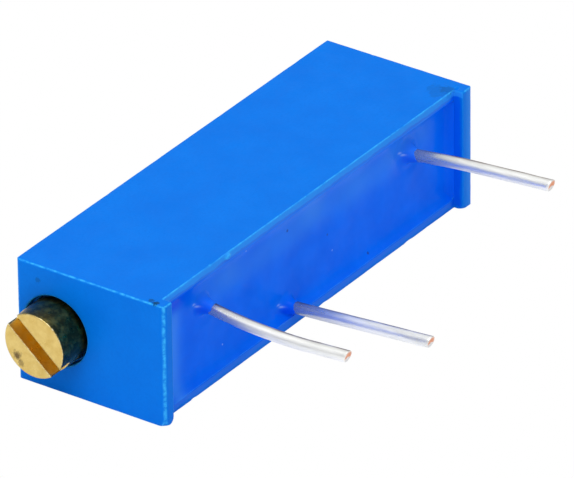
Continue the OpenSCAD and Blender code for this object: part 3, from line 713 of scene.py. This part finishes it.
def screw_field(x, y, z):
    """The screw: slotted head, groove of the O-ring, collar, neck of the retainer, thread and
    far journal."""
    flat = 0 * (x + y + z)
    from_axis = np.sqrt((y - SCREW_Y) ** 2 + (z - SCREW_Z) ** 2) + flat
    tip_x = NEAR_X - HEAD_OUT
    groove_x = NEAR_X + HEAD_IN
    collar_x = groove_x + GROOVE_W
    neck_x = collar_x + COLLAR_W
    thread_near, thread_far = CAVITY_X[0] + SLIDE_GAP, CAVITY_X[1] - SLIDE_GAP

    def length(radius, start, end, r):
        return rounded((x + flat, from_axis), (start, -radius), (end, radius), r)

    head = length(HEAD_R, tip_x, groove_x, 0.035 * MM)
    slot_v = (z - SCREW_Z) * math.cos(SLOT_ANGLE) - (y - SCREW_Y) * math.sin(SLOT_ANGLE) + flat
    slot = np.maximum(np.abs(slot_v) - SLOT_W / 2, x - tip_x - SLOT_DEPTH)
    field = soft_max(head, -slot, 0.025 * MM)
    field = np.minimum(field, length(GROOVE_R, groove_x - 0.1 * MM, collar_x + 0.1 * MM, 0))
    field = np.minimum(field, length(HEAD_R, collar_x, neck_x, 0.03 * MM))
    field = np.minimum(field, length(NECK_R, neck_x - 0.1 * MM, neck_x + NECK_W + 0.1 * MM, 0))
    field = np.minimum(field, length(THREAD_R, neck_x + NECK_W, thread_near, 0.02 * MM))
    # The thread: its profile repeats along X, shifted as it winds round
    angle = np.arctan2(y - SCREW_Y, SCREW_Z - z) + flat
    phase = (x - THREAD_START - LEAD * angle / (2 * math.pi)) % LEAD
    up = (phase - GAP_W) / FLANK_W
    down = (LEAD - phase) / FLANK_W
    radius = CORE_R + (THREAD_R - CORE_R) * np.clip(np.minimum(up, down), 0, 1)
    thread = np.maximum((from_axis - radius) * 0.6,
                        np.maximum(thread_near - 0.1 * MM - x, x - thread_far) + flat)
    field = np.minimum(field, thread)
    return np.minimum(field, length(JOURNAL_R, thread_far - 0.1 * MM, SCREW[1][0], 0.04 * MM))


def turned_screw(material):
    tip_x = NEAR_X - HEAD_OUT
    xs = graded(SCREW[0][0] - 0.1 * MM, SCREW[1][0] + 0.1 * MM,
                [(*EVERYWHERE, 0.075 * MM),
                 (tip_x - 0.1 * MM, tip_x + 0.14 * MM, 0.022 * MM),
                 (tip_x + SLOT_DEPTH - 0.06 * MM, tip_x + SLOT_DEPTH + 0.06 * MM, 0.03 * MM),
                 (CAVITY_X[0] - 0.3 * MM, CAVITY_X[1] + 0.1 * MM, 0.055 * MM)])
    spacing = 0.042 * MM
    side = np.arange(-HEAD_R - 2 * spacing, HEAD_R + 3 * spacing, spacing)
    vertices, quads = mesh_of(screw_field, (xs, SCREW_Y + side, SCREW_Z + side))
    piece = make_mesh("turned_screw", vertices, quads, material)
    store(piece, "edge", edge_share(piece, quads, 0.04 * MM))
    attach(piece, "screw")
    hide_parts("lead_screw")


# ---------------------------------------------------------------- pins

def pin_way(name):
    """The middle line of a pin as places and directions, from its end in the ceramic strip."""
    inner, middle_l, outer, outer_r = PIN_WAYS[name]
    low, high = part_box(name)
    x = (low[0] + high[0]) / 2
    top_y = high[1]
    root = [v.co.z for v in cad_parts[name].data.vertices if v.co.y > top_y - 0.05 * MM]
    place = Vector((x, top_y, (min(root) + max(root)) / 2))
    angle = 0.0
    places, angles = [], []
    inner_l = INNER_BEND_R * math.radians(abs(inner))
    outer_l = outer_r * math.radians(abs(outer))
    shank_l = top_y - RIM_Y + PIN_OUT - (ROOT_L + inner_l + middle_l + outer_l)
    for length, turn in ((ROOT_L, 0), (inner_l, inner), (middle_l, 0), (outer_l, outer),
                         (shank_l, 0)):
        steps = max(2, round(length / PIN_STEP))
        for _ in range(steps):
            places.append(place.copy())
            angles.append(angle)
            middle = angle + math.radians(turn) / steps / 2
            place = place + length / steps * Vector((0, -math.cos(middle), math.sin(middle)))
            angle += math.radians(turn) / steps
    places.append(place)
    angles.append(angle)
    return places, angles


def pin_axes(angle):
    """Directions along a pin that leans by angle, and across it upwards."""
    return (Vector((0, -math.cos(angle), math.sin(angle))),
            Vector((0, math.sin(angle), math.cos(angle))))


def drawn_pin(name, material):
    """A pin as a swept wire, with its end cut on a slant and the edge of the cut rolled."""
    places, angles = pin_way(name)
    around = PIN_SIDES
    shift = int(name[-1])  # moves the noise, so that no two pins are alike
    rings, cut_share, mark_and_painted_reflection_share = [], [], []
    last = len(places) - 1
    for index, (place, angle) in enumerate(zip(places, angles)):
        along, up = pin_axes(angle)
        for k in range(around):
            a = 2 * math.pi * k / around
            out = math.cos(a) * Vector((1, 0, 0)) + math.sin(a) * up
            dent = 0.006 * MM * noise.noise(Vector((place.y / (0.7 * MM), 2 * math.cos(a) + shift,
                                                    2 * math.sin(a))))
            slant = PIN_R * math.sin(a) * math.tan(TIP_CUT)
            share = max(0.0, 1 - (last - index) / 8) ** 2
            rings.append(place + (PIN_R + dent) * out + along * slant * share)
            cut_share.append(0.0)
            # The die mark, also a painted dark reflection along the upper edge, wanders about an
            # angle
            #             # of 70 degrees, and fades in places
            stray = math.radians(70 + 12 * noise.noise(Vector((place.y / MM, shift, 0.5))))
            strength = 0.8 + 0.5 * noise.noise(Vector((place.y / (0.4 * MM), shift, 2.5)))
            turn = math.remainder(a - stray, 2 * math.pi)
            mark_and_painted_reflection_share.append(strength * math.exp(-(turn / 0.36) ** 2))
    along, up = pin_axes(angles[-1])
    # Rings of the cut: share of the radius, how far out in mm, and share of bare copper
    for radius, out_mm, copper in ((0.96, 0.010, 0.0), (0.86, 0.016, 0.6), (0.6, 0.016, 1.0),
                                   (0.25, 0.018, 1.0)):
        for k in range(around):
            a = 2 * math.pi * k / around
            r = radius * PIN_R * (1 + 0.03 * noise.noise(Vector((k / 3, shift, radius))))
            out = math.cos(a) * Vector((1, 0, 0)) + math.sin(a) * up
            rings.append(places[-1] + r * out
                         + along * (r * math.sin(a) * math.tan(TIP_CUT) + out_mm * MM))
            cut_share.append(copper if math.sin(a) > -0.35 else 0.0)
            mark_and_painted_reflection_share.append(0.25 * (copper > 0) * (math.sin(a) < -0.35))
    count = len(rings) // around
    faces = [(i * around + k, i * around + (k + 1) % around,
              (i + 1) * around + (k + 1) % around, (i + 1) * around + k)
             for i in range(count - 1) for k in range(around)]
    faces.append(tuple(reversed(range(around))))
    faces.append(tuple(range((count - 1) * around, count * around)))
    piece = make_mesh("drawn_" + name, [tuple(v) for v in rings], faces, material)
    store(piece, "cut", cut_share)
    store(piece, "dark_mark_and_painted_reflection", mark_and_painted_reflection_share)
    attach(piece, "base")
    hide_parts(name)


# ---------------------------------------------------------------- resin

def bell(value, centre, width):
    return np.exp(-((value - centre) / width) ** 2)


def ramp(value, start, length):
    """0 at start, rising smoothly to 1 at start + length."""
    share = np.clip((value - start) / length, 0, 1)
    return share * share * (3 - 2 * share)


def resin_grid(exits):
    """Places across the potting's face, closer together by the walls and the pins."""
    low, high = POTTING
    steps_x = [(*EVERYWHERE, 0.12 * MM)]
    steps_z = [(*EVERYWHERE, 0.08 * MM)]
    for place in exits:
        steps_x.append((place.x - 0.6 * MM, place.x + 0.6 * MM, 0.035 * MM))
        steps_z.append((place.z - 0.45 * MM, place.z + 0.45 * MM, 0.035 * MM))
    for wall in (low[0], high[0]):
        steps_x.append((wall - 0.35 * MM, wall + 0.35 * MM, 0.03 * MM))
    for wall in (low[2], high[2]):
        steps_z.append((wall - 0.3 * MM, wall + 0.3 * MM, 0.03 * MM))
    xs = graded(low[0] - RESIN_LAP, high[0] + RESIN_LAP, steps_x)
    zs = graded(low[2] - RESIN_LAP, high[2] + RESIN_LAP, steps_z)
    return np.meshgrid(xs, zs, indexing="ij")


def resin_climb(x, z, wave, exits):
    """How far the face stands out from its level."""
    low, high = POTTING
    wall = np.minimum(np.minimum(z - low[2], high[2] - z), np.minimum(x - low[0], high[0] - x))
    wall = np.maximum(wall, 0)
    quiet = np.clip(wall / (0.3 * MM), 0, 1)
    climb = WALL_CLIMB * np.exp(-wall / WALL_FALL) + WAVE_H * wave * quiet
    for place in exits:
        away = np.maximum(np.hypot(x - place.x, z - place.z) - 0.97 * PIN_R, 0)
        climb = np.maximum(climb, PIN_CLIMB * np.exp(-away / PIN_FALL))
        climb = climb - PIN_DIP * bell(away, 0.42 * MM, 0.2 * MM)
    return climb


def resin_painted_light(x, z, wave, exits):
    """The shares of painted sheen, painted shade and painted glint at each place of the face, from
    0 to 1.
    """
    low, high = POTTING
    # Painted sheen: a band along the near wall, and a broad zone below the upper rim
    painted_sheen = 0.85 * bell(x, low[0] + 0.9 * MM, 0.42 * MM) * ramp(z, high[2] - 0.5 * MM, -0.5 * MM)
    painted_rim_sheen = ramp(z, high[2] - 2.0 * MM, 1.6 * MM) * ramp(x, low[0] + 1.8 * MM, 1.2 * MM)
    painted_rim_sheen = painted_rim_sheen * ramp(x, high[0] - 0.6 * MM, -1.2 * MM)
    painted_sheen = np.maximum(painted_sheen, (0.55 + 0.5 * wave) * painted_rim_sheen)
    # Painted shade by the near top corner and along the far wall
    deep = 0.7 * bell(x, low[0] + 1.0 * MM, 0.8 * MM) * bell(z, high[2] - 0.4 * MM, 0.4 * MM)
    deep = np.maximum(deep, 0.2 * bell(x, high[0], 0.5 * MM))
    glint = np.zeros_like(painted_sheen)
    for place in exits:
        # Painted shade on the screw's side of each pin, a painted sheen beside it, and two painted
        # glints
        painted_shade_x, painted_shade_z = x - place.x + 0.30 * MM, z - place.z + 0.02 * MM
        deep = np.maximum(deep, 0.8 * np.exp(-(painted_shade_x ** 2 + painted_shade_z ** 2) / (0.2 * MM) ** 2))
        painted_sheen = np.maximum(painted_sheen, 0.3 * bell(x, place.x - 0.5 * MM, 0.18 * MM)
                          * bell(z, place.z + 0.16 * MM, 0.22 * MM))
        for shift_x, shift_z in ((-0.47 * MM, 0.19 * MM), (-0.38 * MM, 0.10 * MM)):
            glint = np.maximum(glint, 0.8 * bell(x, place.x + shift_x, 0.06 * MM)
                               * bell(z, place.z + shift_z, 0.028 * MM))
    return {name: np.clip(share, 0, 1).ravel()
            for name, share in (("painted_sheen", painted_sheen), ("deep", deep), ("glint", glint))}


def resin_fill(material):
    """The potting: a level face that climbs to lap over the rims, and climbs up each pin."""
    exits = []
    for name in PIN_WAYS:
        places, _ = pin_way(name)
        exits.append(min(places, key=lambda p: abs(p.y - RIM_Y - 0.1 * MM)))
    x, z = resin_grid(exits)
    wave = np.array([noise.noise(Vector((a / (1.5 * MM), 0.3, b / (1.2 * MM))))
                     for a, b in zip(x.ravel(), z.ravel())]).reshape(x.shape)
    y = RIM_Y + RESIN_RECESS - resin_climb(x, z, wave, exits)
    rows, columns = x.shape
    count = x.size
    face = np.stack([x, y, z], axis=-1).reshape(-1, 3)
    back = np.stack([x, np.full_like(x, CERAMIC[0][1]), z], axis=-1).reshape(-1, 3)
    index = np.arange(count).reshape(rows, columns)
    quads = np.stack([index[:-1, :-1], index[1:, :-1], index[1:, 1:], index[:-1, 1:]],
                     axis=-1).reshape(-1, 4)
    ring = np.concatenate([index[:, 0], index[-1, 1:], index[-2::-1, -1], index[0, -2:0:-1]])
    after = np.roll(ring, -1)
    sides = np.stack([ring, ring + count, after + count, after], axis=-1)
    faces = np.concatenate([quads, quads[:, ::-1] + count, sides])
    piece = make_mesh("resin_fill", np.concatenate([face, back]), faces, material)
    for name, share in resin_painted_light(x, z, wave, exits).items():
        store(piece, name, np.concatenate([share, 0 * share]))
    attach(piece, "base")
    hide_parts("potting")


# ---------------------------------------------------------------- stage

def floor(colour):
    """A pale floor that the camera sees as plain white."""
    material, tree, shader = new_material("floor")
    shader.inputs["Base Color"].default_value = (*colour, 1)
    shader.inputs["Roughness"].default_value = 1.0
    shader.inputs["Specular IOR Level"].default_value = 0.0
    white = node(tree, "ShaderNodeEmission", Color=(1, 1, 1, 1), Strength=1.0)
    seen = node(tree, "ShaderNodeLightPath").outputs["Is Camera Ray"]
    either = node(tree, "ShaderNodeMixShader")
    plug(tree, either.inputs[0], seen)
    plug(tree, either.inputs[1], shader.outputs["BSDF"])
    plug(tree, either.inputs[2], white.outputs["Emission"])
    plug(tree, tree.nodes["Material Output"].inputs["Surface"], either.outputs["Shader"])
    half = FLOOR_HALF
    piece = make_mesh("floor",
                      [(-half, -half, 0), (half, -half, 0), (half, half, 0), (-half, half, 0)],
                      [(0, 1, 2, 3)], material)
    piece.location.z = FLOOR_Z


def area_light(name, place, size, power, target=(0, 0, 2.4 * MM)):
    data = bpy.data.lights.new(name, "AREA")
    data.shape = "DISK"
    data.size = size
    data.energy = power
    light = bpy.data.objects.new(name, data)
    light.location = place
    light.rotation_euler = (Vector(target) - Vector(place)).to_track_quat("-Z", "Y").to_euler()
    bpy.context.scene.collection.objects.link(light)


def studio(level):
    """A bright room: even overhead, darker towards the horizon, white to the camera."""
    world = bpy.data.worlds.new("studio")
    bpy.context.scene.world = world
    world.use_nodes = True
    tree = world.node_tree
    background = tree.nodes["Background"]
    height = parts_of(tree, node(tree, "ShaderNodeTexCoord").outputs["Generated"])[2]
    shade = spread(tree, height, 0.0, 0.6, 0.35, 1.0)
    seen = node(tree, "ShaderNodeLightPath").outputs["Is Camera Ray"]
    strength = tree.nodes.new("ShaderNodeMix")
    plug(tree, strength.inputs[0], seen)
    plug(tree, strength.inputs[2], times(tree, shade, level))
    plug(tree, strength.inputs[3], 1.0)
    plug(tree, background.inputs["Strength"], strength.outputs[0])
    background.inputs["Color"].default_value = (1, 1, 1, 1)


def dress(name, material):
    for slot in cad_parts[name].material_slots:
        slot.material = material


set_camera()
bpy.context.scene.view_settings.view_transform = "Standard"
studio(ROOM_LEVEL)
area_light("key", KEY_PLACE, KEY_SIZE, KEY_POWER)
floor(FLOOR_COLOUR)

housing_shell(housing_plastic())
resin_fill(potting_resin())
turned_screw(screw_brass())
tin = tinned_copper()
for pin in PIN_WAYS:
    drawn_pin(pin, tin)
dress("o_ring", plain_material("seal_rubber", (0.02, 0.02, 0.02), (0.035, 0.035, 0.035)))
dress("screw_retainer", plain_material(
    "clip_steel", (0.5, 0.5, 0.52), (0.65, 0.65, 0.66), 1.0, (0.25, 0.4)))
dress("carriage", plain_material(
    "carriage_plastic", (0.78, 0.74, 0.62), (0.86, 0.83, 0.73)))
dress("wiper", plain_material(
    "contact_alloy", (0.78, 0.62, 0.34), (0.86, 0.72, 0.44), 1.0, (0.2, 0.32)))
dress("ceramic_substrate", plain_material(
    "ceramic", (0.82, 0.81, 0.76), (0.9, 0.89, 0.85), 0.0, (0.5, 0.7)))
dress("resistive_track", plain_material(
    "resistor_ink", (0.015, 0.015, 0.016), (0.04, 0.04, 0.042), 0.0, (0.25, 0.4)))
silver = plain_material("conductor_ink", (0.55, 0.54, 0.5), (0.7, 0.69, 0.64), 1.0, (0.4, 0.55))
for name in ("collector_track", "end_pad_1", "end_pad_3"):
    dress(name, silver)
solder = plain_material("solder", (0.55, 0.56, 0.58), (0.7, 0.71, 0.73), 1.0, (0.2, 0.4))
for name in ("solder_joint_1", "solder_joint_2", "solder_joint_3"):
    dress(name, solder)
